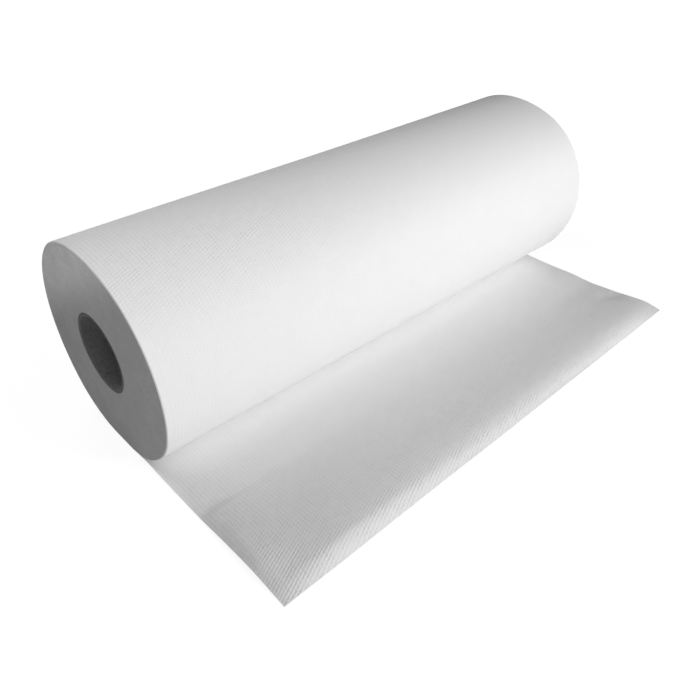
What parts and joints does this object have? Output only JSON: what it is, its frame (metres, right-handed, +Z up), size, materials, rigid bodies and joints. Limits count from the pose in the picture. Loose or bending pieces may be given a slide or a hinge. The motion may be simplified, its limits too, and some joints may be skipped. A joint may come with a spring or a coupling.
{
  "type": "exam table paper roll",
  "caption": "Soft roll of white embossed tissue paper for an examination couch, wound on a grey board core, with a short loose tail lying flat in front of it.",
  "frame": {"origin": "on the table, under the roll's axis, at the middle of the web's width", "axes": "+X along the roll's axis, -Y the way the loose tail lies, +Z up from the table"},
  "size_m": [0.5, 0.3021, 0.1731],
  "materials": {
    "tissue": "matte, finely embossed two-ply tissue",
    "core_board": "matte grey board, spirally wound"
  },
  "bodies": {
    "root": {"paper_roll": "tissue", "core_tube": "core_board"}
  },
  "joints": []
}
